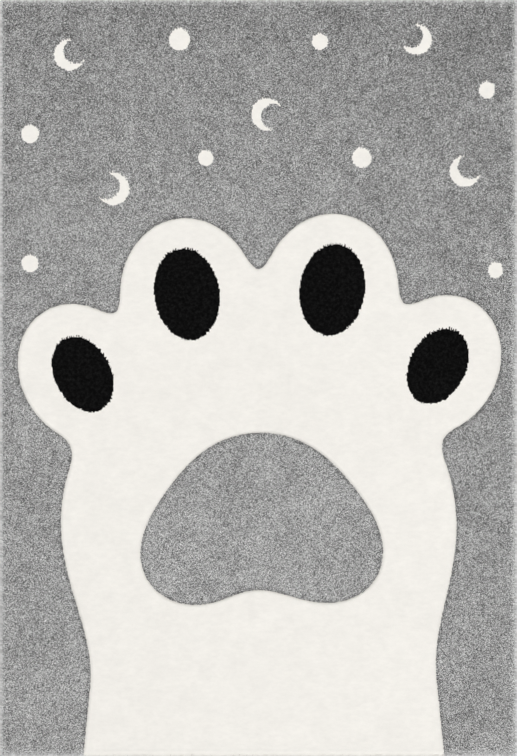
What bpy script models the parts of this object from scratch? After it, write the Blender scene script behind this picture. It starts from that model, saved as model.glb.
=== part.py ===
"""Rectangular short-pile rug for a child's room, with a carved paw and overcast edges.

The rug is one woven piece: a stiff back and a cut pile on it, lying flat. Its four edges are
left thinner and are covered by yarn sewn round them. Two grooves are carved into the pile, one
round a large paw that rises from the foot edge and one round the pad of that paw.

Metres, +Z up. The origin is under the middle of the rug, at floor level. +Y is the head end.
"""

import math

import bmesh
import bpy
from mathutils import Vector

# Overall size
WIDTH = 1.180
LENGTH = 1.725
THICKNESS = 0.0125  # floor to the tips of the pile

# Overcast edge: yarn sewn round the thin margin of the rug
EDGE_WIDTH = 0.0080
EDGE_HEIGHT = 0.0064
YARN_THICKNESS = 0.0016
EDGE_ROUNDING = 0.0024
ROUNDING_STEPS = 5
CLEARANCE = 0.0003

# Pile along the edges, where it leans out and its tips fall away
RIM_WIDTH = 0.0130
RIM_STEPS = 6
BACK_STEP = 0.0020  # width of the slope where the back lifts off the floor

# Carved grooves
GROOVE_WIDTH = 0.0070
GROOVE_DEPTH = 0.0045
GROOVE_SPACING = 0.0095  # between the points of a carved outline
CUTTER_RISE = 0.0010  # how far a cutter stands above the pile
OUTLINE_RAYS = 2400
RAY_LENGTH = 1.5
RAY_HALVINGS = 40

# The paw: a palm, four toes and an arm, blended into one outline.
# Columns: centre x, centre y, half width, half length, turn in degrees
PALM = (0.000, -0.330, 0.450, 0.425, 0)
TOES = (
    (-0.403, 0.010, 0.138, 0.165, 30),
    (-0.158, 0.180, 0.156, 0.185, 10),
    (0.162, 0.190, 0.156, 0.185, -9),
    (0.408, 0.030, 0.138, 0.165, -29),
)
TOE_BLEND = 0.060
ARM_CENTRE = 0.012
ARM_TOP = -0.400
ARM_HALF_WIDTH = 0.365
ARM_FLARE = 0.10  # gain of half width for each metre below the arm's top
ARM_BLEND = 0.10
ARM_OVERRUN = 0.030  # how far the outline runs on past the foot edge

# The pad of the paw, blended from three lobes, in the same columns
PAD = (
    (0.005, -0.275, 0.185, 0.150, 0),
    (-0.135, -0.395, 0.135, 0.120, 20),
    (0.150, -0.390, 0.135, 0.120, -20),
)
PAD_BLEND = 0.12

# Finishes: colour in linear RGB, roughness
HEATHER_PILE = ((0.272, 0.272, 0.279, 1.0), 0.95)
CREAM_PILE = ((0.871, 0.847, 0.799, 1.0), 0.95)
EDGE_YARN = ((0.565, 0.565, 0.570, 1.0), 0.85)
SMOOTH_ANGLE = math.radians(35)  # steeper edges stay sharp


def remove_all_objects():
    for item in list(bpy.data.objects):
        bpy.data.objects.remove(item)


def finish(name, colour, roughness):
    """A plain Principled material."""
    material = bpy.data.materials.new(name)
    material.use_nodes = True
    shader = material.node_tree.nodes["Principled BSDF"]
    shader.inputs["Base Color"].default_value = colour
    shader.inputs["Roughness"].default_value = roughness
    shader.inputs["Metallic"].default_value = 0.0
    return material


def fill_mesh(mesh, shape):
    """Move the finished bmesh into a mesh, its round stretches shaded smooth."""
    bmesh.ops.recalc_face_normals(shape, faces=shape.faces)
    shape.to_mesh(mesh)
    shape.free()
    mesh.shade_smooth()
    mesh.set_sharp_from_angle(angle=SMOOTH_ANGLE)


def new_object(name, shape, materials):
    mesh = bpy.data.meshes.new(name)
    fill_mesh(mesh, shape)
    for material in materials:
        mesh.materials.append(material)
    item = bpy.data.objects.new(name, mesh)
    bpy.context.collection.objects.link(item)
    return item


# Outlines


def oval_gap(x, y, oval):
    """How far a point lies outside an oval, negative inside it."""
    centre_x, centre_y, half_width, half_length, turn = oval
    cosine = math.cos(math.radians(turn))
    sine = math.sin(math.radians(turn))
    across = (x - centre_x) * cosine + (y - centre_y) * sine
    along = (y - centre_y) * cosine - (x - centre_x) * sine
    reach = math.hypot(across / half_width, along / half_length)
    return (reach - 1) * min(half_width, half_length)


def arm_gap(x, y):
    half_width = ARM_HALF_WIDTH + ARM_FLARE * (ARM_TOP - y)
    foot = -LENGTH / 2 - ARM_OVERRUN
    return max(abs(x - ARM_CENTRE) - half_width, y - ARM_TOP, foot - y)


def blended(first, second, blend):
    """The lesser of two gaps, rounded off where they are within blend of each other."""
    overlap = max(blend - abs(first - second), 0) / blend
    return min(first, second) - overlap * overlap * blend / 4


def paw_gap(x, y):
    gap = blended(oval_gap(x, y, PALM), arm_gap(x, y), ARM_BLEND)
    for toe in TOES:
        gap = blended(gap, oval_gap(x, y, toe), TOE_BLEND)
    return gap


def pad_gap(x, y):
    gap = oval_gap(x, y, PAD[0])
    for lobe in PAD[1:]:
        gap = blended(gap, oval_gap(x, y, lobe), PAD_BLEND)
    return gap


def edge_along_ray(gap, centre, angle):
    """The point where a ray from the centre leaves the shape."""
    direction = Vector((math.cos(angle), math.sin(angle)))
    inside = 0.0
    outside = RAY_LENGTH
    for _ in range(RAY_HALVINGS):
        middle = (inside + outside) / 2
        place = centre + direction * middle
        if gap(place.x, place.y) < 0:
            inside = middle
        else:
            outside = middle
    return centre + direction * inside


def evenly_spaced(points, spacing):
    """A closed line with its points moved to an even spacing."""
    lengths = [(points[i - 1] - points[i]).length for i in range(1, len(points))]
    lengths.append((points[-1] - points[0]).length)
    count = round(sum(lengths) / spacing)
    pitch = sum(lengths) / count
    placed = []
    walked = 0.0
    for i, length in enumerate(lengths):
        following = points[(i + 1) % len(points)]
        while len(placed) < count and len(placed) * pitch < walked + length:
            share = (len(placed) * pitch - walked) / length
            placed.append(points[i].lerp(following, share))
        walked += length
    return placed


def outline(gap, oval):
    """The outline of a shape, seen from the middle of one of its ovals."""
    centre = Vector(oval[:2])
    angles = [2 * math.pi * step / OUTLINE_RAYS for step in range(OUTLINE_RAYS)]
    points = [edge_along_ray(gap, centre, angle) for angle in angles]
    return evenly_spaced(points, GROOVE_SPACING)


# The woven rug


def rug_section():
    """The rug's edge as (inset, height) pairs, from the floor up to the tips of the pile."""
    margin_inset = YARN_THICKNESS + CLEARANCE
    margin_low = YARN_THICKNESS + CLEARANCE
    margin_high = EDGE_HEIGHT - YARN_THICKNESS - CLEARANCE
    pile_inset = EDGE_WIDTH + CLEARANCE
    section = [
        (pile_inset + BACK_STEP, 0.0),
        (pile_inset, margin_low),
        (margin_inset, margin_low),
        (margin_inset, margin_high),
        (pile_inset, margin_high),
    ]
    for step in range(1, RIM_STEPS + 1):
        angle = math.pi / 2 * step / RIM_STEPS
        inset = pile_inset + RIM_WIDTH * (1 - math.cos(angle))
        height = margin_high + (THICKNESS - margin_high) * math.sin(angle)
        section.append((inset, height))
    return section


def rectangle(shape, inset, height):
    """Four corners of a rectangle inside the rug's outline, as a ring of points."""
    x = WIDTH / 2 - inset
    y = LENGTH / 2 - inset
    corners = ((-x, -y), (x, -y), (x, y), (-x, y))
    return [shape.verts.new((*corner, height)) for corner in corners]


def woven_rug(materials):
    """Back and pile as one flat solid, a stack of rectangles."""
    shape = bmesh.new()
    rings = [rectangle(shape, inset, height) for inset, height in rug_section()]
    for lower, upper in zip(rings, rings[1:]):
        for i in range(4):
            j = (i + 1) % 4
            shape.faces.new((lower[i], lower[j], upper[j], upper[i]))
    shape.faces.new(reversed(rings[0]))
    shape.faces.new(rings[-1])
    return new_object("woven_rug", shape, materials)


def groove_cutter(name, points):
    """A V-shaped bar along a closed outline, with its point down in the pile."""
    half_top = GROOVE_WIDTH / 2 * (1 + CUTTER_RISE / GROOVE_DEPTH)
    top = THICKNESS + CUTTER_RISE
    bottom = THICKNESS - GROOVE_DEPTH
    shape = bmesh.new()
    bars = []
    for i, point in enumerate(points):
        ahead = points[(i + 1) % len(points)] - points[i - 1]
        outward = Vector((ahead.y, -ahead.x)).normalized()
        corners = (
            (*(point + outward * half_top), top),
            (*(point - outward * half_top), top),
            (*point, bottom),
        )
        bars.append([shape.verts.new(corner) for corner in corners])
    for i, bar in enumerate(bars):
        following = bars[(i + 1) % len(bars)]
        for j in range(3):
            k = (j + 1) % 3
            shape.faces.new((bar[j], bar[k], following[k], following[j]))
    cutter = new_object(name, shape, ())
    cutter.hide_render = True
    cutter.display_type = "WIRE"
    return cutter


def carve(rug, cutter):
    cut = rug.modifiers.new(cutter.name, "BOOLEAN")
    cut.operation = "DIFFERENCE"
    cut.solver = "EXACT"
    cut.object = cutter


def dye_by_region(rug):
    """Settle the carving into the mesh, and give the cream pile its own faces."""
    settled = rug.evaluated_get(bpy.context.evaluated_depsgraph_get())
    shape = bmesh.new()
    shape.from_mesh(bpy.data.meshes.new_from_object(settled))
    bmesh.ops.triangulate(shape, faces=shape.faces)
    for face in shape.faces:
        middle = face.calc_center_median()
        in_paw = paw_gap(middle.x, middle.y) < 0
        in_pad = pad_gap(middle.x, middle.y) < 0
        face.material_index = int(in_paw and not in_pad and face.normal.z > 0)
    rug.modifiers.clear()
    fill_mesh(rug.data, shape)


# The overcast edges


def edge_section():
    """The yarn round the margin as (inset, height) pairs: a C, open to the inside."""
    section = [(EDGE_WIDTH, 0.0)]
    for centre_height, start in ((EDGE_ROUNDING, -math.pi / 2), (EDGE_HEIGHT - EDGE_ROUNDING, 0)):
        for step in range(ROUNDING_STEPS + 1):
            angle = start + math.pi / 2 * step / ROUNDING_STEPS
            inset = EDGE_ROUNDING * (1 - math.cos(angle))
            section.append((inset, centre_height + EDGE_ROUNDING * math.sin(angle)))
    section.append((EDGE_WIDTH, EDGE_HEIGHT))
    section.append((EDGE_WIDTH, EDGE_HEIGHT - YARN_THICKNESS))
    section.append((YARN_THICKNESS, EDGE_HEIGHT - YARN_THICKNESS))
    section.append((YARN_THICKNESS, YARN_THICKNESS))
    section.append((EDGE_WIDTH, YARN_THICKNESS))
    return section


def overcast_edge(name, turn, half_side, half_across, material):
    """A strip along one side, mitred at both ends to meet the next ones.

    turn is the direction in degrees, from the rug's middle, of the side that it covers.
    """
    side = Vector((math.cos(math.radians(turn)), math.sin(math.radians(turn))))
    along = Vector((-side.y, side.x))
    mitre_gap = CLEARANCE / math.sqrt(2)
    shape = bmesh.new()
    ends = []
    for end in (-1, 1):
        ring = []
        for inset, height in edge_section():
            place = side * (half_across - inset) + along * end * (half_side - inset - mitre_gap)
            ring.append(shape.verts.new((place.x, place.y, height)))
        ends.append(ring)
    for i in range(len(ends[0])):
        j = (i + 1) % len(ends[0])
        shape.faces.new((ends[0][i], ends[0][j], ends[1][j], ends[1][i]))
    shape.faces.new(ends[0])
    shape.faces.new(reversed(ends[1]))
    return new_object(name, shape, (material,))


def build():
    remove_all_objects()
    heather = finish("heather_pile", *HEATHER_PILE)
    cream = finish("cream_pile", *CREAM_PILE)
    yarn = finish("edge_yarn", *EDGE_YARN)

    rug = woven_rug((heather, cream))
    carve(rug, groove_cutter("paw_cutter", outline(paw_gap, PALM)))
    carve(rug, groove_cutter("pad_cutter", outline(pad_gap, PAD[0])))
    dye_by_region(rug)

    overcast_edge("overcast_right", 0, LENGTH / 2, WIDTH / 2, yarn)
    overcast_edge("overcast_head", 90, WIDTH / 2, LENGTH / 2, yarn)
    overcast_edge("overcast_left", 180, LENGTH / 2, WIDTH / 2, yarn)
    overcast_edge("overcast_foot", 270, WIDTH / 2, LENGTH / 2, yarn)


build()
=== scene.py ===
"""Looks of a flat kids' rug: carved short pile on a woven back, with overcast edges.

The rug lies on its back with +Z up out of the pile and +Y towards the head end. The pile leans
a little towards the head end, so the outlines that are only woven in, and not carved, have
loose tips on their upper side.
"""

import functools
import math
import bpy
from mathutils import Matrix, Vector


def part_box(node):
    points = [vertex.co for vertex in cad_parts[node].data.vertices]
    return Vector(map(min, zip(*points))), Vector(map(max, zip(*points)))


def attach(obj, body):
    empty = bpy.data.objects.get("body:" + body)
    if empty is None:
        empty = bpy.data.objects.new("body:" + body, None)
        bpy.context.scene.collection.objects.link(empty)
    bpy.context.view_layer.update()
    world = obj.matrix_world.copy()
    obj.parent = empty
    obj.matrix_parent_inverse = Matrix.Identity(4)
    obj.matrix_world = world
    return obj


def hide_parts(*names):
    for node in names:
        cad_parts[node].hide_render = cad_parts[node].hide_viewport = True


bl_info = {
    "name": "Carved Kids Rug",
    "version": (1, 0, 0),
    "blender": (4, 5, 0),
    "location": "View3D > Sidebar > Rug",
    "description": "Raises the pile, back and overcast edges of a carved rug on its solids",
    "category": "Mesh",
}

import bmesh
import bpy
import numpy as np
from mathutils import Matrix, Vector

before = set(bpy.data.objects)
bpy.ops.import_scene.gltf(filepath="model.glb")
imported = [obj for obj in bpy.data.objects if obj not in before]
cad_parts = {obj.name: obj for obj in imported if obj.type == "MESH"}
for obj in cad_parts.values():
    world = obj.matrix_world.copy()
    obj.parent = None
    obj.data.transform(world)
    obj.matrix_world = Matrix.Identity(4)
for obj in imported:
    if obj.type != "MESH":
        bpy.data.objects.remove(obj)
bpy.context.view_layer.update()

BODY = "root"

# Sizes from the frame
EDGE_LOW, EDGE_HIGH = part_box("overcast_left")
RUG_LOW, RUG_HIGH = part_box("woven_rug")
WIDTH = -2 * EDGE_LOW.x
LENGTH = 2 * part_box("overcast_head")[1].y
THICKNESS = RUG_HIGH.z
EDGE_WIDTH = EDGE_HIGH.x - EDGE_LOW.x
EDGE_HEIGHT = EDGE_HIGH.z
MARGIN_INSET = RUG_LOW.x - EDGE_LOW.x

# The margin under the overcast yarn
CLEARANCE = 0.0003
YARN_THICKNESS = MARGIN_INSET - CLEARANCE
MARGIN_TOP = EDGE_HEIGHT - MARGIN_INSET
BACK_STEP = 0.0020

# How far the pile's own rectangle reaches from the rug's middle, and the foot of its rim
PILE_X = WIDTH / 2 - EDGE_WIDTH - CLEARANCE
PILE_Y = LENGTH / 2 - EDGE_WIDTH - CLEARANCE
RIM_FOOT = EDGE_HEIGHT + 0.0002
RIM_OVERHANG = (0.0002, 0.0036)  # how far the border's points stand out past it
CREAM_OVERHANG = 0.0030  # how much further they do where the pile is cream

# The paw: a palm, four toes and an arm, blended into one outline.
# Columns: centre x, centre y, half width, half length, turn in degrees
PALM = (0.000, -0.330, 0.450, 0.425, 0)
TOES = (
    (-0.403, 0.010, 0.138, 0.165, 30),
    (-0.158, 0.180, 0.156, 0.185, 10),
    (0.162, 0.190, 0.156, 0.185, -9),
    (0.408, 0.030, 0.138, 0.165, -29),
)
TOE_BLEND = 0.060
ARM_CENTRE = 0.012
ARM_TOP = -0.400
ARM_HALF_WIDTH = 0.365
ARM_FLARE = 0.10
ARM_BLEND = 0.10

# The pad of the paw, in the same columns
PAD = (
    (0.005, -0.275, 0.185, 0.150, 0),
    (-0.135, -0.395, 0.135, 0.120, 20),
    (0.150, -0.390, 0.135, 0.120, -20),
)
PAD_BLEND = 0.12

# The black pads of the toes, in the same columns
TOE_PADS = (
    (-0.400, 0.008, 0.064, 0.090, 28),
    (-0.163, 0.190, 0.074, 0.104, 9),
    (0.168, 0.200, 0.074, 0.104, -8),
    (0.408, 0.026, 0.064, 0.090, -27),
)

# Small motifs on the ground. Columns: centre x, centre y, radius, turn in degrees
CRESCENTS = (
    (-0.430, 0.735, 0.035, 30),
    (0.020, 0.600, 0.036, -20),
    (0.360, 0.770, 0.034, 150),
    (-0.330, 0.430, 0.036, 160),
    (0.470, 0.470, 0.035, 40),
)
CRESCENT_BITE = (0.45, 0.82)  # shift and radius of the bite, in radii of the crescent

# Columns: centre x, centre y, radius
DOTS = (
    (-0.180, 0.770, 0.024),
    (-0.520, 0.555, 0.020),
    (0.235, 0.500, 0.022),
    (0.140, 0.765, 0.018),
    (0.520, 0.655, 0.018),
    (-0.120, 0.500, 0.017),
    (-0.520, 0.260, 0.019),
    (0.540, 0.245, 0.017),
)


# Outlines, for numbers or whole arrays of points

SLOPE_STEP = 1e-4  # over which an outline's slope is measured
LEAST_SLOPE = 0.3
GROOVE_SHADE_REACH = 0.010  # how far from a carved outline the painted groove shade reaches


def oval_gap(x, y, oval):
    """How far points lie outside an oval, negative inside it."""
    centre_x, centre_y, half_width, half_length, turn = oval
    cosine = math.cos(math.radians(turn))
    sine = math.sin(math.radians(turn))
    across = (x - centre_x) * cosine + (y - centre_y) * sine
    along = (y - centre_y) * cosine - (x - centre_x) * sine
    reach = np.hypot(across / half_width, along / half_length)
    return (reach - 1) * min(half_width, half_length)


def arm_gap(x, y):
    half_width = ARM_HALF_WIDTH + ARM_FLARE * (ARM_TOP - y)
    return np.maximum(np.abs(x - ARM_CENTRE) - half_width, y - ARM_TOP)


def blended(first, second, blend):
    """The lesser of two gaps, rounded off where they are within blend of each other."""
    overlap = np.maximum(blend - np.abs(first - second), 0) / blend
    return np.minimum(first, second) - overlap * overlap * blend / 4


def paw_gap(x, y):
    gap = blended(oval_gap(x, y, PALM), arm_gap(x, y), ARM_BLEND)
    for toe in TOES:
        gap = blended(gap, oval_gap(x, y, toe), TOE_BLEND)
    return gap


def pad_gap(x, y):
    gap = oval_gap(x, y, PAD[0])
    for lobe in PAD[1:]:
        gap = blended(gap, oval_gap(x, y, lobe), PAD_BLEND)
    return gap


def toe_pads_gap(x, y):
    return np.minimum.reduce([oval_gap(x, y, oval) for oval in TOE_PADS])


def motifs_gap(x, y):
    gaps = []
    for centre_x, centre_y, radius, turn in CRESCENTS:
        shift, bite = (share * radius for share in CRESCENT_BITE)
        bite_x = centre_x + shift * math.cos(math.radians(turn))
        bite_y = centre_y + shift * math.sin(math.radians(turn))
        disc = np.hypot(x - centre_x, y - centre_y) - radius
        gaps.append(np.maximum(disc, bite - np.hypot(x - bite_x, y - bite_y)))
    for centre_x, centre_y, radius in DOTS:
        gaps.append(np.hypot(x - centre_x, y - centre_y) - radius)
    return np.minimum.reduce(gaps)


def distance(gap, x, y):
    """Distance to an outline, negative inside, and the step in x and y for each metre out."""
    slope_x = (gap(x + SLOPE_STEP, y) - gap(x - SLOPE_STEP, y)) / (2 * SLOPE_STEP)
    slope_y = (gap(x, y + SLOPE_STEP) - gap(x, y - SLOPE_STEP)) / (2 * SLOPE_STEP)
    steepness = np.maximum(np.hypot(slope_x, slope_y), LEAST_SLOPE)
    return gap(x, y) / steepness, slope_x / steepness, slope_y / steepness


def carving(x, y):
    """Mask of the painted groove shade: 1 on a carved outline, falling evenly to 0 at its reach."""
    away = [np.abs(distance(gap, x, y)[0]) for gap in (paw_gap, pad_gap)]
    return np.clip(1 - np.minimum(*away) / GROOVE_SHADE_REACH, 0, 1)


# Sizes and colours that a user would change


def metres(name, description, default):
    return bpy.props.FloatProperty(
        name=name, description=description, default=default, unit="LENGTH", precision=5
    )


def tint(name, description, default):
    return bpy.props.FloatVectorProperty(
        name=name, description=description, default=default, subtype="COLOR"
    )


class RugSizes(bpy.types.PropertyGroup):
    pile_pitch: metres("Pile pitch", "Distance between the points of the pile", 0.00235)
    tip_spread: metres("Tip spread", "How unevenly the tips of the pile are cut", 0.00016)
    rim_width: metres("Rim width", "Width over which the pile rises at the edges", 0.0150)
    groove_depth: metres("Groove depth", "Depth of the carving", 0.0045)
    groove_width: metres("Groove width", "Width of the carving at the pile's tips", 0.0078)
    stitch_pitch: metres("Stitch pitch", "Distance between turns of the edge yarn", 0.0034)


class RugColours(bpy.types.PropertyGroup):
    heather_dark: tint("Dark heather", "Darker heather fibres", (0.046, 0.046, 0.0455))
    heather_light: tint("Light heather", "Lighter heather fibres", (0.900, 0.900, 0.892))
    cream: tint("Cream", "Cream pile", (0.871, 0.847, 0.799))
    black: tint("Black", "Black pile", (0.0022, 0.0022, 0.0022))
    edge_yarn: tint("Edge yarn", "Overcast yarn", (0.810, 0.810, 0.808))
    back: tint("Back", "Jute-coloured yarn of the back", (0.430, 0.360, 0.260))


# Shader maths


class Shade:
    """A socket of a material, so that shader maths is written as plain expressions."""

    def __init__(self, tree, socket=None):
        self.tree = tree
        self.socket = socket

    def add(self, kind, settings, inputs, output=0):
        """Any node: its settings first, then the values or links of its sockets."""
        node = self.tree.nodes.new(kind)
        for name, value in settings.items():
            setattr(node, name, value)
        for key, value in inputs.items():
            if isinstance(value, Shade):
                self.tree.links.new(value.socket, node.inputs[key])
            else:
                node.inputs[key].default_value = value
        return Shade(self.tree, node.outputs[output])

    def maths(self, operation, *values):
        return self.add("ShaderNodeMath", {"operation": operation}, dict(enumerate(values)))

    def __add__(self, other):
        return self.maths("ADD", self, other)

    __radd__ = __add__

    def __sub__(self, other):
        return self.maths("SUBTRACT", self, other)

    def __rsub__(self, other):
        return self.maths("SUBTRACT", other, self)

    def __mul__(self, other):
        return self.maths("MULTIPLY", self, other)

    __rmul__ = __mul__

    def __rpow__(self, other):
        return self.maths("POWER", other, self)

    def __abs__(self):
        return self.maths("ABSOLUTE", self)

    def lesser(self, other):
        return self.maths("MINIMUM", self, other)

    def rise(self, start, end):
        """0 below start, 1 above end, and a smooth rise between them."""
        inputs = {"Value": self, "From Min": start, "From Max": end}
        return self.add("ShaderNodeMapRange", {"interpolation_type": "SMOOTHSTEP"}, inputs)

    def waves(self, length):
        """Waves of this length along this coordinate, from -1 to 1."""
        return self.maths("SINE", self * (2 * math.pi / length))

    def blend(self, first, second):
        """A colour from first, where this is 0, to second, where it is 1."""
        inputs = {0: self, 6: first, 7: second}
        return self.add("ShaderNodeMix", {"data_type": "RGBA"}, inputs, output=2)

    def stretched(self, scale):
        """This place in space with its three directions scaled."""
        return self.add("ShaderNodeVectorMath", {"operation": "MULTIPLY"}, {0: self, 1: scale})

    def swayed(self, size, reach):
        """This place moved about by soft noise, so that what is drawn from it is uneven."""
        inputs = {"Vector": self, "Scale": 1 / size, "Detail": 1.0}
        sway = self.add("ShaderNodeTexNoise", {}, inputs, output="Color")
        inputs = {0: sway, 1: (reach,) * 3, 2: self}
        return self.add("ShaderNodeVectorMath", {"operation": "MULTIPLY_ADD"}, inputs)

    def noise(self, size, detail=2.0, roughness=0.5):
        """Soft noise round 0.5 with features of this size, at this place in space."""
        inputs = {"Vector": self, "Scale": 1 / size, "Detail": detail, "Roughness": roughness}
        return self.add("ShaderNodeTexNoise", {}, inputs)

    def tufts(self, size):
        """Scattered tufts: how far away the nearest one's middle is, in sizes, and its shade."""
        inputs = {"Vector": self, "Scale": 1 / size, "Randomness": 0.9}
        away = self.add("ShaderNodeTexVoronoi", {}, inputs, output="Distance")
        return away, Shade(self.tree, away.socket.node.outputs["Color"])

    def carried(self, name):
        """A number that the piece carries at each of its points."""
        return self.add("ShaderNodeAttribute", {"attribute_name": name}, {}, output="Fac")

    def axes(self):
        """The three coordinates of this place in space."""
        whole = self.add("ShaderNodeSeparateXYZ", {}, {0: self}).socket.node
        return [Shade(self.tree, output) for output in whole.outputs]


# Painted light and shade on the heather, darker at the head end and at the sides, in shares of the
# way from its dark to its light fibres
PAINTED_LIGHT_FAR = 0.195  # what it adds far from the head end
PAINTED_SHADE_AT_HEAD = 0.18  # how much less it adds at the head end
PAINTED_SHADE_KEPT = 0.10  # share of that which each metre leaves
PAINTED_SHADE_AT_SIDES = (0.03, 0.06)  # how much less it adds at the left and right side

# Painted light at the rim, where the pile slopes down to the edge
PAINTED_RIM_LIGHT = (0.0065, 0.0165)  # insets between which it falls
LEFT_PAINTED_LIGHT_SHIFT = 0.0016  # how much sooner it falls at the left


def toned(name, brightness=1.0):
    """One of the rug's colours, opaque and this many times as bright."""
    colour = getattr(bpy.context.scene.rug_colours, name)
    return (*(min(channel * brightness, 1.0) for channel in colour), 1.0)


def varied(share, *patterns):
    """A share of the way between two colours, moved to and fro by each pattern's weight."""
    for pattern, weight in patterns:
        share = share + (pattern - 0.5) * weight
    return share


def new_finish(name, roughness, sheen, shine=0.2):
    """A Principled material, its shader and the place on the object to draw patterns from."""
    material = bpy.data.materials.new(name)
    material.use_nodes = True
    shader = material.node_tree.nodes["Principled BSDF"]
    shader.inputs["Roughness"].default_value = roughness
    shader.inputs["Specular IOR Level"].default_value = shine
    shader.inputs["Sheen Weight"].default_value = sheen
    shader.inputs["Sheen Roughness"].default_value = 0.5
    place = Shade(material.node_tree).add("ShaderNodeTexCoord", {}, {}, output="Object")
    return material, shader, place


def finish_surface(shader, colour, relief, depth):
    """Link a colour, and a relief of this depth in metres, to a shader."""
    bump = relief.add("ShaderNodeBump", {}, {"Strength": 1.0, "Distance": depth, "Height": relief})
    colour.tree.links.new(colour.socket, shader.inputs["Base Color"])
    colour.tree.links.new(bump.socket, shader.inputs["Normal"])


def pile_pattern(place):
    """Cut yarn ends: the tone of each, the gaps between them, which get painted shade, fibres, and
    the whole relief.
    """
    uneven_place = place.stretched((1.10, 1.60, 1.0)).swayed(size=0.0016, reach=0.0016)
    away, shade = uneven_place.tufts(size=0.0022)
    fibres = place.noise(size=0.0008, detail=3.0, roughness=0.65)
    gaps = away.rise(start=0.35, end=0.80)
    relief = (1 - away) * 0.40 + fibres * 0.75
    return shade, gaps, fibres, relief


def painted_rim_light(place):
    """Painted light: 1 on the overcast edge, falling to 0 where the pile has its full height."""
    x, y, _ = place.axes()
    inset_x = (x + WIDTH / 2 + LEFT_PAINTED_LIGHT_SHIFT).lesser(WIDTH / 2 - x)
    inset_y = LENGTH / 2 - abs(y)
    return 1 - inset_x.lesser(inset_y).rise(*PAINTED_RIM_LIGHT)


def painted_falloff(place):
    """Painted light and shade: how much paler the pile is painted the further it is from the head
    end and from the sides.
    """
    x, y, _ = place.axes()
    at_head = PAINTED_SHADE_KEPT ** (LENGTH / 2 - y)
    left = 1 - x.rise(start=-0.56, end=-0.25)
    right = x.rise(start=0.10, end=0.56)
    return PAINTED_LIGHT_FAR - at_head * PAINTED_SHADE_AT_HEAD - left * PAINTED_SHADE_AT_SIDES[0] - right * PAINTED_SHADE_AT_SIDES[1]


def carved(place):
    """Painted shade beside a carved outline: 1 there, falling to 0 away from it and at the rim."""
    return place.carried("carving").rise(start=0.05, end=0.60) * (1 - painted_rim_light(place))


@functools.cache
def heather_finish():
    material, shader, place = new_finish("heather_pile", roughness=0.95, sheen=0.10)
    shade, gaps, fibres, relief = pile_pattern(place)
    flecks = place.stretched((1.10, 1.70, 1.0)).noise(size=0.0018, detail=1.0)
    mottle = place.noise(size=0.022, roughness=0.6)
    patches = place.noise(size=0.110, roughness=0.6)
    share = varied(0.135, (shade, 1.22), (flecks, 3.3), (fibres, 1.9))
    share = varied(share, (mottle, 0.38), (patches, 0.26))
    # Painted shade in the gaps between tufts, beside carved outlines, towards the head end and at
    # the sides; painted light at the rim
    share = share - gaps * 0.08 + painted_falloff(place) + painted_rim_light(place) * 0.38 - carved(place) * 0.12
    colour = share.blend(toned("heather_dark"), toned("heather_light"))
    finish_surface(shader, colour, relief, depth=0.0012)
    return material


@functools.cache
def cream_finish():
    material, shader, place = new_finish("cream_pile", roughness=0.95, sheen=0.08)
    shade, gaps, fibres, relief = pile_pattern(place)
    mottle = place.stretched((0.55, 1.0, 1.0)).noise(size=0.0080, detail=1.0)
    shadows = place.noise(size=0.045)
    share = varied(0.58, (shade, 0.08), (fibres, 0.25), (mottle, 0.55), (shadows, 0.5))
    # Painted shade in the gaps between tufts and beside carved outlines; painted light at the rim
    share = share + gaps * 0.12 + carved(place) * 0.15 - painted_rim_light(place) * 0.35
    colour = share.blend(toned("cream", 1.09), toned("cream", 0.92))
    finish_surface(shader, colour, relief, depth=0.0010)
    return material


@functools.cache
def black_finish():
    material, shader, place = new_finish("black_pile", roughness=0.95, sheen=0.0, shine=0.03)
    shade, gaps, fibres, relief = pile_pattern(place)
    mottle = place.noise(size=0.0070, detail=1.0)
    # Painted shade in the gaps between tufts
    share = varied(0.25, (shade, 0.8), (fibres, 0.8), (mottle, 1.6)) - gaps * 0.1
    colour = share.blend(toned("black"), toned("black", 5.5))
    finish_surface(shader, colour, relief, depth=0.0012)
    return material


@functools.cache
def yarn_finish():
    """Overcast yarn: twisted strands, each turn a little lighter or darker than the next."""
    material, shader, place = new_finish("edge_yarn", roughness=0.85, sheen=0.12)
    x, y, z = place.axes()
    plies = (x + y * 0.7 + z).waves(length=0.0011)
    fibres = place.noise(size=0.0007)
    share = varied(place.carried("turn") * 0.90, (fibres, 0.4)) + plies * 0.08
    grey = share.blend(toned("edge_yarn"), toned("edge_yarn", 0.58))
    colour = place.carried("by_cream").blend(grey, toned("cream", 1.08))
    finish_surface(shader, colour, plies * 0.5 + fibres * 0.4, depth=0.00025)
    return material


@functools.cache
def back_finish():
    """Plain weave of coarse yarn, a little uneven."""
    material, shader, place = new_finish("woven_back", roughness=0.92, sheen=0.0)
    x, y, _ = place.axes()
    sway = place.noise(size=0.030, detail=1.0) * 0.0015
    weave = (x + sway).waves(length=0.0044) * (y + sway).waves(length=0.0060)
    fibres = place.noise(size=0.0012, detail=3.0)
    slubs = place.stretched((0.12, 1.0, 1.0)).noise(size=0.004)
    share = varied(0.45, (fibres, 0.5), (slubs, 0.6)) + weave * 0.16
    colour = share.blend(toned("back", 0.55), toned("back", 1.25))
    finish_surface(shader, colour, weave * 0.5 + fibres * 0.3, depth=0.0007)
    return material


# Pieces


def new_object(name, data):
    """An object in the scene, unturned and at the origin, and its data under the same name."""
    data.name = name
    item = bpy.data.objects.new(name, data)
    bpy.context.scene.collection.objects.link(item)
    return item


def new_piece(name, mesh, material, node="woven_rug"):
    """A finished piece that stands for a solid and takes its place."""
    mesh.materials.append(material)
    mesh.shade_smooth()
    piece = new_object(name, mesh)
    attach(piece, BODY)
    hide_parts(node)


def read(items, name, size=1, kind=float):
    """One property of every item of a mesh, as an array."""
    values = np.empty(len(items) * size, kind)
    items.foreach_get(name, values)
    return values


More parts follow.
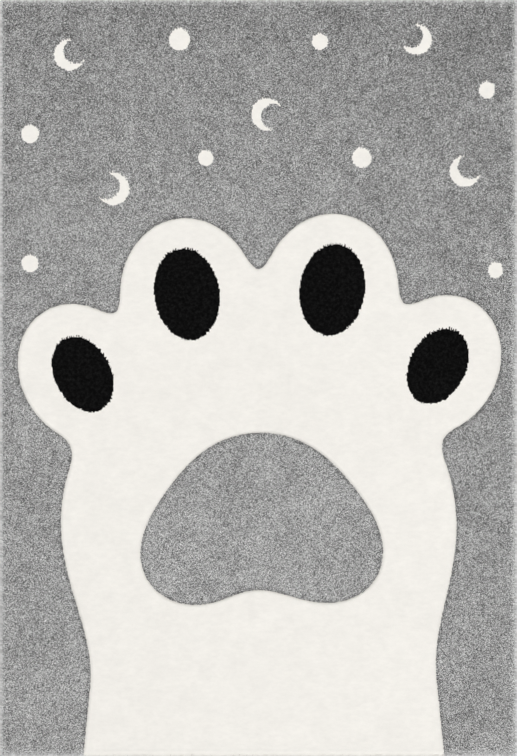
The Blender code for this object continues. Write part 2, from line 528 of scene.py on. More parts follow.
def points_of(mesh):
    return read(mesh.vertices, "co", size=3).reshape(-1, 3)


def set_points(mesh, places):
    mesh.vertices.foreach_set("co", places.ravel())
    mesh.update()


def add_numbers(mesh, name, values):
    layer = mesh.attributes.new(name, "FLOAT", "POINT")
    layer.data.foreach_set("value", values)


def to_new_mesh(shape):
    mesh = bpy.data.meshes.new("new")
    shape.to_mesh(mesh)
    shape.free()
    return mesh


def grid(columns=1, rows=1, size=1.0):
    """A flat grid round the origin."""
    shape = bmesh.new()
    bmesh.ops.create_grid(shape, x_segments=columns, y_segments=rows, size=size / 2)
    return shape


def tube(sides, end_radius, length):
    """An upright closed tube on the origin, one unit wide to each side at its foot."""
    shape = bmesh.new()
    bmesh.ops.create_cone(
        shape,
        cap_ends=True,
        segments=sides,
        radius1=1,
        radius2=end_radius,
        depth=length,
        matrix=Matrix.Translation((0, 0, length / 2)),
    )
    return shape


def repeated(shape, count, sides):
    """One mesh of many copies of a tube with this many sides, all still in the same place."""
    template = to_new_mesh(shape)
    maker = new_object("maker", template)
    row = maker.modifiers.new("Row", "ARRAY")
    row.count = count
    row.use_relative_offset = False
    row.use_constant_offset = True
    row.constant_offset_displace = (0, 0, 0)
    mesh = bpy.data.meshes.new_from_object(
        maker.evaluated_get(bpy.context.evaluated_depsgraph_get())
    )
    bpy.data.objects.remove(maker)
    bpy.data.meshes.remove(template)
    lay_tubes(mesh, count, sides)
    return mesh


# Flat maps, which keep a piece's finish sharp when it is baked

FLAT_MAP = "OFBake"
MAP_MARGIN = 0.005  # bare share at each side of a block
TUBE_MARGIN = 0.03  # the same for a tube
TUBE_SHAPE = 0.55  # width of the place of a tube on the map, in lengths of it
BACK_SHARE = 0.94  # width of the underside on its map
BACK_MARGIN = 0.05  # bare share at each side of another face of the back


def corners_of(mesh):
    """The point at each corner of a face, and where each face's corners start."""
    corners = read(mesh.loops, "vertex_index", kind=int)
    return corners, read(mesh.polygons, "loop_start", kind=int)


def add_map(mesh, places):
    layer = mesh.uv_layers.new(name=FLAT_MAP)
    layer.data.foreach_set("uv", places.ravel())


def lay_blocks(mesh, blocks):
    """Map pile as seen from above, cut across into blocks that lie side by side."""
    corners, starts = corners_of(mesh)
    places = points_of(mesh)[corners, :2]
    along = np.repeat(places[starts, 1], np.diff(starts, append=len(corners)))
    share = (along - along.min()) / (along.max() - along.min())
    block = np.clip((share * blocks).astype(int), 0, blocks - 1)
    boxes = [(places[block == i].min(0), places[block == i].max(0)) for i in range(blocks)]
    widths = np.array([high[0] - low[0] for low, high in boxes])
    widths /= widths.sum()
    lefts = np.cumsum(widths) - widths
    for i, (low, high) in enumerate(boxes):
        flat = (places[block == i] - low) / (high - low) * (1 - 2 * MAP_MARGIN) + MAP_MARGIN
        places[block == i] = flat * (widths[i], 1) + (lefts[i], 0)
    add_map(mesh, places)


def lay_tubes(mesh, count, sides):
    """Map copies of an upright tube, each slit open and in a place of its own."""
    corners, starts = corners_of(mesh)
    points = points_of(mesh)
    turned = np.arctan2(-points[:, 0], points[:, 1]) / (2 * math.pi)
    around = (np.round(turned * sides) % sides)[corners]
    spread = np.maximum.reduceat(around, starts) - np.minimum.reduceat(around, starts)
    over_slit = np.repeat(spread > sides / 2, np.diff(starts, append=len(corners)))
    around = np.where(over_slit & (around < sides / 2), around + sides, around) / sides
    places = np.column_stack([around, points[corners, 2] / points[:, 2].max()])
    columns = math.ceil(math.sqrt(count / TUBE_SHAPE))
    rows = math.ceil(count / columns)
    copy = corners // (len(points) // count)
    places = places * (1 - 2 * TUBE_MARGIN) + TUBE_MARGIN
    places += np.column_stack([copy % columns, copy // columns])
    add_map(mesh, places / (columns, rows))


def lay_back(mesh):
    """Map the underside of the back large, and its other faces in a column beside it."""
    corners, starts = corners_of(mesh)
    places = points_of(mesh)[corners]
    underside = int(np.argmin([face.center.z for face in mesh.polygons]))
    flat = np.empty((len(corners), 2))
    squares = ((0, 0), (1, 0), (1, 1), (0, 1))
    for i, face in enumerate(mesh.polygons):
        own = slice(face.loop_start, face.loop_start + face.loop_total)
        if i == underside:
            flat[own] = (places[own, :2] / (WIDTH, LENGTH) + 0.5) * (BACK_SHARE, 1)
        else:
            square = np.array(squares[: face.loop_total]) * (1 - 2 * BACK_MARGIN) + BACK_MARGIN
            flat[own] = square * (1 - BACK_SHARE, 1 / len(starts)) + (BACK_SHARE, i / len(starts))
    add_map(mesh, flat)


# The pile

POINT_SWAY = 0.28  # how far a point strays from its row and column, in pile pitches
OUTLINE_SWAY = 0.0008  # how far it strays from a carved outline
CELL_SWAY = 0.40  # how far a cell strays at an outline that isn't carved, in pile pitches
ROW_SWAY = 0.45  # and how far a whole row of tufts does
TUFT_ROWS = 2  # rows of cells in a row of tufts

# Heights of the tips
SHORTEST = -3  # lowest that a tip is cut, in tip spreads
LONGEST = 2  # and highest
RIM_CURVE = 2.2  # how soon the pile reaches its height at the rim
UNEVEN_RISE = 3  # how much sooner than its height it has its full unevenness
GROOVE_CURVE = 1.2  # how soon the carving falls to its depth
HEATHER_SIDE = 0.66  # reach of the carving into the heather, in groove widths
CREAM_SIDE = 0.46  # and into the cream
ALONG_DEPTH = 0.72  # of carving that runs along the rug, in groove depths
ACROSS_EXTRA = 0.43  # how much deeper it is where it runs across

# Teeth of yarn on the upper side of outlines that aren't carved
TOOTH_SPACING = 0.0055
TOOTH_SWAY = 0.2  # how far a tooth strays, in tooth spacings
TOOTH_WIDTH = 0.48  # in tooth spacings
TOOTH_ROWS = 6  # rows of cells over which a column keeps the length of its tooth
BLACK_TEETH = (0.0016, 0.0058)
SMALL_TEETH = (0.0012, 0.0042)


class Pile:
    """The grid of points that every stretch of pile is cut from, so that neighbours meet."""

    def __init__(self, sizes):
        pitch = sizes.pile_pitch
        self.columns = round(2 * PILE_X / pitch)
        self.rows = round(2 * PILE_Y / pitch)
        self.across = np.linspace(-PILE_X, PILE_X, self.columns + 1)
        self.along = np.linspace(-PILE_Y, PILE_Y, self.rows + 1)
        self.x, self.y = np.meshgrid(self.across, self.along)
        self.random = np.random.default_rng(7)
        self.scatter(pitch)
        self.carved = np.zeros(self.x.shape, bool)
        for gap in (paw_gap, pad_gap):
            self.fit_to(gap)
        self.z = self.heights(sizes)
        self.black = self.woven_in(toe_pads_gap, pitch, BLACK_TEETH)
        self.small = self.woven_in(motifs_gap, pitch, SMALL_TEETH)

    def scatter(self, pitch):
        """Move every point a little, so that no rows show, and let the border overhang."""
        for places in (self.x[1:-1, 1:-1], self.y[1:-1, 1:-1]):
            places += self.random.uniform(-POINT_SWAY, POINT_SWAY, places.shape) * pitch
        for places, border, way in (
            (self.x, np.s_[:, 0], -1),
            (self.x, np.s_[:, -1], 1),
            (self.y, np.s_[0], -1),
            (self.y, np.s_[-1], 1),
        ):
            reach = self.random.uniform(*RIM_OVERHANG, places[border].size)
            cream = paw_gap(self.x[border], self.y[border]) < 0
            places[border] += way * (reach + CREAM_OVERHANG * cream)

    def fit_to(self, gap):
        """Move the points nearest to a carved outline close to it."""
        away = distance(gap, self.x, self.y)[0]
        near = np.zeros(away.shape, bool)
        for first, second in ((np.s_[:, :-1], np.s_[:, 1:]), (np.s_[:-1], np.s_[1:])):
            crossed = (away[first] < 0) != (away[second] < 0)
            first_is_nearer = np.abs(away[first]) < np.abs(away[second])
            near[first] |= crossed & first_is_nearer
            near[second] |= crossed & ~first_is_nearer
        sway = self.random.uniform(-OUTLINE_SWAY, OUTLINE_SWAY, int(near.sum()))
        for _ in range(3):
            away, step_x, step_y = distance(gap, self.x[near], self.y[near])
            self.x[near] -= (away - sway) * step_x
            self.y[near] -= (away - sway) * step_y
        self.carved |= near

    def heights(self, sizes):
        """Tips of the pile: uneven, falling away at the rim and carved along the outlines."""
        inset = np.minimum(PILE_X - np.abs(self.x), PILE_Y - np.abs(self.y))
        share = np.clip(inset / sizes.rim_width, 0, 1)
        rise = 1 - (1 - share) ** RIM_CURVE
        tips = self.random.normal(0, sizes.tip_spread, self.x.shape)
        tips = np.clip(tips, SHORTEST * sizes.tip_spread, LONGEST * sizes.tip_spread)
        tips = tips * np.minimum(rise * UNEVEN_RISE, 1)
        height = RIM_FOOT + (THICKNESS - RIM_FOOT) * rise + tips
        for gap in (paw_gap, pad_gap):
            away, _, step_y = distance(gap, self.x, self.y)
            heather = away > 0 if gap is paw_gap else away < 0
            reach = sizes.groove_width * np.where(heather, HEATHER_SIDE, CREAM_SIDE)
            depth_share = ALONG_DEPTH + ACROSS_EXTRA * np.minimum(np.abs(step_y), 1)
            depth = sizes.groove_depth * depth_share * rise
            height -= depth * np.clip(1 - np.abs(away) / reach, 0, 1) ** GROOVE_CURVE
        return height

    def woven_in(self, gap, pitch, tooth_lengths):
        """The cells of a motif that is woven in and not carved, with an uneven outline."""
        x, y = np.meshgrid(self.across[:-1] + pitch / 2, self.along[:-1] + pitch / 2)
        by_cell = self.random.uniform(-CELL_SWAY, CELL_SWAY, x.shape)
        by_row = self.random.uniform(-ROW_SWAY, ROW_SWAY, (self.rows // TUFT_ROWS + 1, 1))
        by_row = np.repeat(by_row, TUFT_ROWS, axis=0)[: self.rows]
        inside = gap(x, y) + (by_cell + by_row) * pitch < 0
        return inside | (gap(x, y - self.teeth(pitch, tooth_lengths)) < 0)

    def teeth(self, pitch, lengths):
        """How far the pile of each cell stands out at the upper side of an outline."""
        sway = self.random.uniform(-TOOTH_SWAY, TOOTH_SWAY, self.columns)
        phase = np.arange(self.columns) * pitch / TOOTH_SPACING + sway
        band = self.random.uniform(*lengths, (self.rows // TOOTH_ROWS + 1, self.columns))
        return np.repeat(band, TOOTH_ROWS, axis=0)[: self.rows] * (phase % 1 < TOOTH_WIDTH)

    def cell_of(self, x, y):
        """The row and column of the cell at a place."""
        column = (x + PILE_X) / (2 * PILE_X) * self.columns
        row = (y + PILE_Y) / (2 * PILE_Y) * self.rows
        column = np.clip(column.astype(int), 0, self.columns - 1)
        return np.clip(row.astype(int), 0, self.rows - 1), column

    def place_of(self, row, column):
        """The place of a row and column, which may lie between two of them."""
        x = -PILE_X + column / self.columns * 2 * PILE_X
        return x, -PILE_Y + row / self.rows * 2 * PILE_Y

    def colours(self, x, y):
        """Which pile stands at these places: heather ground, cream, pad, black or small motif."""
        in_paw = paw_gap(x, y) < 0
        in_pad = pad_gap(x, y) < 0
        cell = self.cell_of(x, y)
        black = self.black[cell]
        small = self.small[cell] & ~in_paw
        return {
            "ground": ~in_paw & ~small,
            "cream": in_paw & ~in_pad & ~black,
            "pad": in_pad,
            "black": black,
            "small": small,
        }

    def window(self, low, high):
        """The rows and columns of points from low to high, which neighbours share the ends of."""
        halves = (PILE_Y, PILE_X)
        counts = (self.rows, self.columns)
        spans = []
        for half, count, start, end in zip(halves, counts, low[::-1], high[::-1]):
            first, last = (round((place / half + 1) / 2 * count) for place in (start, end))
            spans.append(slice(max(first, 0), min(last, count) + 1))
        return tuple(spans)

    def stretch(self, colour, low, high, blocks=1):
        """The pile of one colour between two corners of a rectangle, as a mesh."""
        rows, columns = self.window(low, high)
        places = np.stack([grid[rows, columns] for grid in (self.x, self.y, self.z)], -1)
        mesh = to_new_mesh(grid(places.shape[1] - 1, places.shape[0] - 1))
        set_points(mesh, places.reshape(-1, 3))
        shape = bmesh.new()
        shape.from_mesh(mesh)
        shape.verts.ensure_lookup_table()
        carved = np.flatnonzero(self.carved[rows, columns].ravel())
        bmesh.ops.connect_verts(shape, verts=[shape.verts[i] for i in carved])
        shape.to_mesh(mesh)
        x, y, _ = read(mesh.polygons, "center", size=3).reshape(-1, 3).T
        others = np.flatnonzero(~self.colours(x, y)[colour])
        shape.faces.ensure_lookup_table()
        bmesh.ops.delete(shape, geom=[shape.faces[i] for i in others], context="FACES")
        shape.to_mesh(mesh)
        shape.free()
        lay_blocks(mesh, blocks)
        x, y, _ = points_of(mesh).T
        # Each point carries the mask of the painted shade beside carved outlines
        add_numbers(mesh, "carving", carving(x, y))
        return mesh


@functools.cache
def pile():
    return Pile(bpy.context.scene.rug_sizes)


# Strips of pile along the whole rug, in halves where one piece would grow too large.
# Columns: name, colour, left and right side in half widths
GROUND = (("heather_left", "ground", -1, 0), ("heather_right", "ground", 0, 1))
PAW = (("cream_left", "cream", -1, 0), ("cream_right", "cream", 0, 1))
MOTIFS = (("small_motifs", "small", -1, 1),)

PAD_LOW = (-0.35, -0.60)
PAD_HIGH = (0.35, -0.05)


def raise_strips(strips, finish):
    for name, colour, left, right in strips:
        low = (left * PILE_X, -PILE_Y)
        high = (right * PILE_X, PILE_Y)
        mesh = pile().stretch(colour, low, high, blocks=2)
        new_piece(name, mesh, finish())


class RUG_OT_raise_ground(bpy.types.Operator):
    """Raise the heather grey pile of the ground"""

    bl_idname = "rug.raise_ground"
    bl_label = "Raise Ground Pile"

    def execute(self, context):
        raise_strips(GROUND, heather_finish)
        return {"FINISHED"}


class RUG_OT_raise_paw(bpy.types.Operator):
    """Raise the cream pile of the paw"""

    bl_idname = "rug.raise_paw"
    bl_label = "Raise Paw Pile"

    def execute(self, context):
        raise_strips(PAW, cream_finish)
        return {"FINISHED"}


class RUG_OT_raise_pads(bpy.types.Operator):
    """Raise the heather pad and the black toe pads"""

    bl_idname = "rug.raise_pads"
    bl_label = "Raise Pads"

    def execute(self, context):
        mesh = pile().stretch("pad", PAD_LOW, PAD_HIGH)
        new_piece("heather_pad", mesh, heather_finish())
        for i, (x, y, _, reach, _) in enumerate(TOE_PADS, start=1):
            mesh = pile().stretch("black", (x - reach, y - reach), (x + reach, y + reach))
            new_piece(f"toe_pad_{i}", mesh, black_finish())
        return {"FINISHED"}


class RUG_OT_raise_motifs(bpy.types.Operator):
    """Raise the small cream motifs of the ground"""

    bl_idname = "rug.raise_motifs"
    bl_label = "Raise Small Motifs"

    def execute(self, context):
        raise_strips(MOTIFS, cream_finish)
        return {"FINISHED"}


# The woven back

# Its edge, from the floor up to the foot of the pile. Columns: inset, height
BACK_SECTION = (
    (EDGE_WIDTH + CLEARANCE + BACK_STEP, 0.0),
    (EDGE_WIDTH + CLEARANCE, MARGIN_INSET),
    (MARGIN_INSET, MARGIN_INSET),
    (MARGIN_INSET, MARGIN_TOP),
)
BACK_CREASE = math.radians(20)  # sharpest bend that is shaded smooth


class RUG_OT_weave_back(bpy.types.Operator):
    """Weave the back that carries the pile"""

    bl_idname = "rug.weave_back"
    bl_label = "Weave Back"

    def execute(self, context):
        first, *others = BACK_SECTION
        shape = grid()
        ring = list(shape.edges)
        self.place(shape.verts, *first)
        for inset, height in others:
            grown = bmesh.ops.extrude_edge_only(shape, edges=ring)["geom"]
            ring = [item for item in grown if isinstance(item, bmesh.types.BMEdge)]
            self.place({corner for edge in ring for corner in edge.verts}, inset, height)
        bmesh.ops.contextual_create(shape, geom=ring)
        bmesh.ops.recalc_face_normals(shape, faces=shape.faces)
        in_order = sorted(shape.faces, key=lambda face: face.calc_center_median()[:])
        shape.faces.sort(key=in_order.index)
        mesh = to_new_mesh(shape)
        lay_back(mesh)
        new_piece("woven_back", mesh, back_finish())
        mesh.set_sharp_from_angle(angle=BACK_CREASE)
        return {"FINISHED"}

    def place(self, corners, inset, height):
        for corner in corners:
            corner.co = (
                math.copysign(WIDTH / 2 - inset, corner.co.x),
                math.copysign(LENGTH / 2 - inset, corner.co.y),
                height,
            )


# The overcast edges

# One turn of yarn round the margin. Columns: inset from the rug's outline, height
HALF_YARN = YARN_THICKNESS / 2
TURN = (
    (EDGE_WIDTH + 0.0004, MARGIN_INSET + 0.0006),
    (EDGE_WIDTH - 0.0010, HALF_YARN),
    (0.0045, HALF_YARN),
    (0.0020, HALF_YARN + 0.0003),
    (HALF_YARN, EDGE_HEIGHT / 2),
    (0.0020, EDGE_HEIGHT - HALF_YARN - 0.0003),
    (0.0045, EDGE_HEIGHT - HALF_YARN),
    (EDGE_WIDTH + 0.0002, EDGE_HEIGHT - HALF_YARN - 0.0001),
    (EDGE_WIDTH + 0.0018, MARGIN_TOP + 0.0004),
)
YARN_SIDES = 5
YARN_FILL = 0.56  # half width of a turn, in stitch pitches
TURN_LEAN = 0.9  # how far a turn runs along the edge on its way round, in stitch pitches
TURN_SWAY = 0.08  # how far it strays along the edge, in stitch pitches
TURN_FATNESS = (0.92, 1.06)  # of the thinnest and the fattest turn
END_SWAY = (-0.0005, 0.0003)  # how far the inner end of a turn strays
CREAM_FADE = 0.004  # way along the edge over which the yarn turns cream

# Turns that fan out round each corner, from the way a side faces to the diagonal
FAN_ANGLES = (11.25, 22.5, 33.75, 45.0)
FAN_REACH = 1.34  # of the longest, in lengths of a straight turn
FAN_WIDTH = 0.0011  # half width at the outer end
FAN_TAPER = 0.35  # the same at the inner end, in half widths at the outer one
FAN_LEAN = 0.3  # in leans of a straight turn

# Columns: name, way outwards
EDGES = (
    ("overcast_right", (1, 0)),
    ("overcast_head", (0, 1)),
    ("overcast_left", (-1, 0)),
    ("overcast_foot", (0, -1)),
)


def yarn_tube():
    """A straight tube with a ring of points at each whole number of its length."""
    shape = tube(YARN_SIDES, 1, len(TURN) - 1)
    for station in range(1, len(TURN) - 1):
        whole = [*shape.verts, *shape.edges, *shape.faces]
        bmesh.ops.bisect_plane(shape, geom=whole, plane_co=(0, 0, station), plane_no=(0, 0, 1))
    return shape


class Side:
    """One side of a rectangle, from its middle: outward, along, and half its two sizes."""

    def __init__(self, outward, half_width, half_length):
        self.outward = np.array(outward, float)
        self.along = np.array((-self.outward[1], self.outward[0]))
        halves = (half_width, half_length)
        self.half_across, self.half_side = halves if outward[0] else halves[::-1]


def turns_of(side, pitch, random):
    """Where the turns of one side start, which way they run, how far, and which of them fan out."""
    reach = side.half_side - EDGE_WIDTH
    count = round(2 * reach / pitch)
    middle = (np.arange(count) + 0.5 - count / 2) * (2 * reach / count)
    middle = middle + random.uniform(-TURN_SWAY, TURN_SWAY, count) * pitch
    fan = np.radians(FAN_ANGLES)
    along = np.concatenate([middle, np.full(len(fan), reach), np.full(len(fan) - 1, -reach)])
    angle = np.concatenate([np.zeros(count), fan, -fan[:-1]])
    start = side.outward * (side.half_across - EDGE_WIDTH) + side.along * along[:, None]
    way = side.outward * np.cos(angle)[:, None] + side.along * np.sin(angle)[:, None]
    return start, way, np.minimum(1 / np.cos(angle), FAN_REACH), angle != 0


def overcast(side, pitch, random):
    """Turns of yarn round one margin, which carry each turn's shade and how cream it is."""
    start, way, stretch, fan = turns_of(side, pitch, random)
    count = len(start)
    mesh = repeated(yarn_tube(), count, YARN_SIDES)
    template = points_of(mesh)
    turn = np.repeat(np.arange(count), len(template) // count)
    last = len(TURN) - 1
    station = np.clip(np.round(template[:, 2]).astype(int), 0, last)

    path = np.array(TURN)
    ahead = np.gradient(path, axis=0)[station]
    ahead /= np.linalg.norm(ahead, axis=1, keepdims=True)
    fatness = random.uniform(*TURN_FATNESS, count)
    thick = template[:, 0] * HALF_YARN * np.minimum(fatness, 1.0)[turn]
    inset = path[station, 0] + ahead[:, 1] * thick
    inset += np.where(inset > EDGE_WIDTH / 2, random.uniform(*END_SWAY, count)[turn], 0)
    height = path[station, 1] - ahead[:, 0] * thick

    width = np.where(fan, FAN_WIDTH, YARN_FILL * pitch) * fatness
    tapered = FAN_TAPER + (1 - FAN_TAPER) * np.clip(1 - inset / EDGE_WIDTH, 0, 1)
    lean = (station / last - 0.5) * TURN_LEAN * pitch * np.where(fan, FAN_LEAN, 1)[turn]
    aside = template[:, 1] * width[turn] * np.where(fan[turn], tapered, 1) + lean
    outward = (EDGE_WIDTH - inset) * stretch[turn]
    flat = start[turn] + way[turn] * outward[:, None]
    flat += np.column_stack([-way[:, 1], way[:, 0]])[turn] * aside[:, None]
    set_points(mesh, np.column_stack([flat, np.maximum(height, 0)]))
    add_numbers(mesh, "turn", random.random(count)[turn])
    add_numbers(mesh, "by_cream", np.clip(-paw_gap(*start.T) / CREAM_FADE, 0, 1)[turn])
    return mesh


class RUG_OT_overcast_edges(bpy.types.Operator):
    """Sew the yarn round the four margins"""

    bl_idname = "rug.overcast_edges"
    bl_label = "Overcast Edges"

    def execute(self, context):
        random = np.random.default_rng(21)
        for node, outward in EDGES:
            side = Side(outward, WIDTH / 2, LENGTH / 2)
            mesh = overcast(side, context.scene.rug_sizes.stitch_pitch, random)
            new_piece(f"{node}_yarn", mesh, yarn_finish(), node)
        return {"FINISHED"}


# Loose tips of the pile

TIP_SIDES = 4
TIP_TAPER = 0.45  # width at the blunt end, in widths at the root
TIP_FLATNESS = 0.7  # thickness, in widths

# At the rim
END_REACH = 1.35  # how much further the tips reach at the head and foot than at the sides
RIM_SPREAD = 0.4  # how far a root strays, in spacings
RIM_TURN = 0.45  # how far a tip turns aside for each metre outwards
RIM_SLOPE = 0.75  # how much higher a root stands for each metre inwards
RIM_LIFT = 0.0002  # height of the outer roots over the foot of the rim
SHORT_BIAS = 1.6  # above 1, more tips are short
RIM_TIP_WIDTHS = (0.0005, 0.0010)

# At the outlines that aren't carved
CELL_SHIFT = 0.3  # of a root from the middle of its cell towards the outline, in cells
CELL_SPREAD = 0.2  # how far it strays, in cells
TIP_SUNK = 0.0007  # depth of the roots under the top of the pile
TIP_TURN = 0.35  # how far a tip turns aside for each metre towards the head end
TIP_OUTWARD = 0.55  # and outwards at the left and right of an outline
TIP_RISE = (0.12, 0.30)  # and up
TIP_WIDTHS = (0.0007, 0.0013)


def loose_tips(roots, leans, lengths, widths):
    """Tapered tips of pile that grow from their roots along their leans."""
    mesh = repeated(tube(TIP_SIDES, TIP_TAPER, 1), len(roots), TIP_SIDES)
    template = points_of(mesh)
    per_tip = len(template) // len(roots)
    leans = leans / np.linalg.norm(leans, axis=1, keepdims=True)
    across = np.cross(leans, (0.0, 0.0, 1.0))
    across /= np.linalg.norm(across, axis=1, keepdims=True)
    up = np.cross(across, leans)
    tip = np.repeat(np.arange(len(roots)), per_tip)
    places = (
        roots[tip]
        + leans[tip] * (template[:, 2] * lengths[tip])[:, None]
        + across[tip] * (template[:, 0] * widths[tip])[:, None]
        + up[tip] * (template[:, 1] * widths[tip] * TIP_FLATNESS)[:, None]
    )
    set_points(mesh, places)
    return mesh


def rim_tips(random, cream, spacing, inset, rise, lengths):
    """Loose ends that lie out over the overcast edges, where the pile is cream or not."""
    roots, leans, reach = [], [], []
    for _, outward in EDGES:
        side = Side(outward, PILE_X, PILE_Y)
        count = round(2 * side.half_side / spacing)
        along = np.arange(count) + 0.5 - count / 2 + random.uniform(-RIM_SPREAD, RIM_SPREAD, count)
        inward = random.uniform(*inset, count)
        flat = side.outward * (side.half_across - inward)[:, None]
        flat = flat + side.along * (along * spacing)[:, None]
        height = RIM_FOOT + RIM_LIFT + np.maximum(inward, 0) * RIM_SLOPE
        roots.append(np.column_stack([flat, height]))
        sway = side.along * random.uniform(-RIM_TURN, RIM_TURN, count)[:, None]
        leans.append(np.column_stack([side.outward + sway, random.uniform(*rise, count)]))
        reach.append(np.full(count, END_REACH if side.outward[1] else 1.0))
    roots, leans, reach = (np.concatenate(parts) for parts in (roots, leans, reach))
    kept = (paw_gap(roots[:, 0], roots[:, 1]) < 0) == cream
    count = int(kept.sum())
    lengths = lengths[0] + (lengths[1] - lengths[0]) * random.random(count) ** SHORT_BIAS
    widths = random.uniform(*RIM_TIP_WIDTHS, count)
    return loose_tips(roots[kept], leans[kept], lengths * reach[kept], widths)


def outline_tips(random, inside, wanted, lengths):
    """Tips of the pile inside an outline that isn't carved, out over its upper side and ends."""
    parts = []
    for rows, columns in ((1, 0), (0, 1), (0, -1)):
        beside = np.roll(inside, (-rows, -columns), (0, 1))
        row, column = np.nonzero(inside & ~beside)
        chosen = random.random(len(row)) < wanted
        count = int(chosen.sum())
        out = np.full(count, columns)
        row = row[chosen] + 0.5 + CELL_SHIFT * rows
        parts.append((row, column[chosen] + 0.5 + CELL_SHIFT * out, out))
    row, column, out = (np.concatenate(part) for part in zip(*parts))
    count = len(row)
    column = column + random.uniform(-CELL_SPREAD, CELL_SPREAD, count)
    row = row + random.uniform(-CELL_SPREAD, CELL_SPREAD, count)
    roots = np.column_stack([*pile().place_of(row, column), np.full(count, THICKNESS - TIP_SUNK)])
    aside = out * TIP_OUTWARD + random.uniform(-TIP_TURN, TIP_TURN, count)
    leans = np.column_stack([aside, np.ones(count), random.uniform(*TIP_RISE, count)])
    widths = random.uniform(*TIP_WIDTHS, count)
    return loose_tips(roots, leans, random.uniform(*lengths, count), widths)


LONG_TIPS = (0.0012, 0.0030)
SHORT_TIPS = (0.0010, 0.0024)

# Columns: name, motif, inside or outside it, share of the cells, lengths, finish, slot
OUTLINE_TIPS = (
    ("black_tips", "black", True, 1.00, LONG_TIPS, black_finish, "black_pile"),
    ("cream_tips", "black", False, 0.50, SHORT_TIPS, cream_finish, "cream_pile"),
    ("motif_tips", "small", True, 1.00, LONG_TIPS, cream_finish, "cream_pile"),
    ("ground_tips", "small", False, 0.50, SHORT_TIPS, heather_finish, "heather_pile"),
)

# Columns: spacing, inset of the roots, rise for each metre outwards, lengths
HEATHER_RIM = (0.0017, (0.0004, 0.0030), (-0.25, 0.20), (0.0022, 0.0070))
CREAM_RIM = (0.0010, (-0.0052, 0.0004), (-0.40, 0.05), (0.0012, 0.0034))

# Columns: name, on cream or not, rim, finish, slot
RIMS = (
    ("rim_heather", False, HEATHER_RIM, heather_finish, "heather_pile"),
    ("rim_cream", True, CREAM_RIM, cream_finish, "cream_pile"),
)


class RUG_OT_tease_tips(bpy.types.Operator):
    """Tease loose tips out of the rim and out of the outlines that aren't carved"""

    bl_idname = "rug.tease_tips"
    bl_label = "Tease Loose Tips"

    def execute(self, context):
        random = np.random.default_rng(33)
        for name, motif, within, wanted, lengths, finish, slot in OUTLINE_TIPS:
            inside = getattr(pile(), motif) == within
            mesh = outline_tips(random, inside, wanted, lengths)
            new_piece(name, mesh, finish())
        for name, cream, rim, finish, slot in RIMS:
            new_piece(name, rim_tips(random, cream, *rim), finish())
        return {"FINISHED"}


class RUG_OT_declare_cloth(bpy.types.Operator):
    """A step that does nothing: it declares no piece as the cloth."""

    bl_idname = "rug.declare_cloth"
    bl_label = "Declare Cloth"

    def execute(self, context):
        return {"FINISHED"}


# The stage

FLOOR_SIZE = 60.0
FLOOR_DROP = 0.0002
FLOOR_TONES = (0.78, 0.80)
LENS = 85.0
SENSOR = 36.0
FRAME_LENGTH = 0.9990  # what the camera sees at the height of the edges, in lengths of the rug
WORLD_LIGHT = 0.594

# Columns: name, place, size, power in watts
SOFT_LIGHTS = (
    ("head_light", (-1.2, 4.0, 3.2), 2.6, 77.0),
    ("left_light", (-4.2, 0.4, 3.0), 2.6, 42.0),
    ("right_light", (4.2, -0.4, 3.0), 2.6, 70.0),
    ("foot_light", (0.6, -4.2, 3.0), 2.6, 64.0),
)


def floor_finish():
    material, shader, place = new_finish("pale_floor", roughness=0.8, sheen=0.0)
    dark, light = ((tone, tone, tone, 1.0) for tone in FLOOR_TONES)
    colour = place.noise(size=0.6).blend(dark, light)
    material.node_tree.links.new(colour.socket, shader.inputs["Base Color"])
    return material


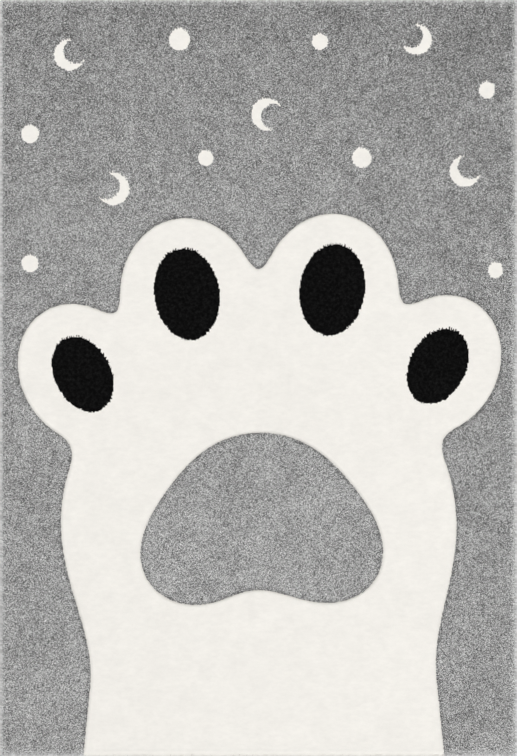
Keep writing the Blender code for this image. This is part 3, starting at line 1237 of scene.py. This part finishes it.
class RUG_OT_set_stage(bpy.types.Operator):
    """Lay a pale floor and set the camera straight above, with soft studio light"""

    bl_idname = "rug.set_stage"
    bl_label = "Set Stage"

    def execute(self, context):
        self.lay_floor()
        self.set_camera(context)
        for light in SOFT_LIGHTS:
            self.add_light(*light)
        world = bpy.data.worlds.new("studio")
        world.use_nodes = True
        background = world.node_tree.nodes["Background"]
        background.inputs["Color"].default_value = (1.0, 1.0, 1.0, 1.0)
        background.inputs["Strength"].default_value = WORLD_LIGHT
        context.scene.world = world
        context.scene.view_settings.view_transform = "Standard"
        return {"FINISHED"}

    def lay_floor(self):
        shape = grid(size=FLOOR_SIZE)
        bmesh.ops.translate(shape, verts=shape.verts, vec=(0, 0, -FLOOR_DROP))
        mesh = to_new_mesh(shape)
        mesh.materials.append(floor_finish())
        new_object("floor", mesh)

    def set_camera(self, context):
        data = bpy.data.cameras.new("camera")
        data.lens = LENS
        data.sensor_width = SENSOR
        distance = LENGTH / 2 * FRAME_LENGTH * LENS / (SENSOR / 2)
        camera = new_object("camera", data)
        camera.location = (0, 0, EDGE_HEIGHT + distance)
        context.scene.camera = camera

    def add_light(self, name, place, size, power):
        data = bpy.data.lights.new(name, "AREA")
        data.size = size
        data.energy = power
        light = new_object(name, data)
        light.location = place
        light.rotation_euler = (-Vector(place)).to_track_quat("-Z", "Y").to_euler()


class RUG_PT_panel(bpy.types.Panel):
    """Steps and settings of the rug"""

    bl_idname = "RUG_PT_panel"
    bl_label = "Carved Rug"
    bl_space_type = "VIEW_3D"
    bl_region_type = "UI"
    bl_category = "Rug"

    def draw(self, context):
        for group in (context.scene.rug_sizes, context.scene.rug_colours):
            for name in group.__annotations__:
                self.layout.prop(group, name)
        for step in STEPS:
            self.layout.operator(step.bl_idname)


STEPS = (
    RUG_OT_weave_back,
    RUG_OT_raise_ground,
    RUG_OT_raise_paw,
    RUG_OT_raise_pads,
    RUG_OT_raise_motifs,
    RUG_OT_overcast_edges,
    RUG_OT_tease_tips,
    RUG_OT_declare_cloth,
    RUG_OT_set_stage,
)
CLASSES = (RugSizes, RugColours, *STEPS, RUG_PT_panel)


def register():
    for item in CLASSES:
        bpy.utils.register_class(item)
    bpy.types.Scene.rug_sizes = bpy.props.PointerProperty(type=RugSizes)
    bpy.types.Scene.rug_colours = bpy.props.PointerProperty(type=RugColours)


def unregister():
    del bpy.types.Scene.rug_colours
    del bpy.types.Scene.rug_sizes
    for item in reversed(CLASSES):
        bpy.utils.unregister_class(item)


def main():
    register()
    for step in STEPS:
        group, name = step.bl_idname.split(".")
        getattr(getattr(bpy.ops, group), name)()


if __name__ == "__main__":
    main()
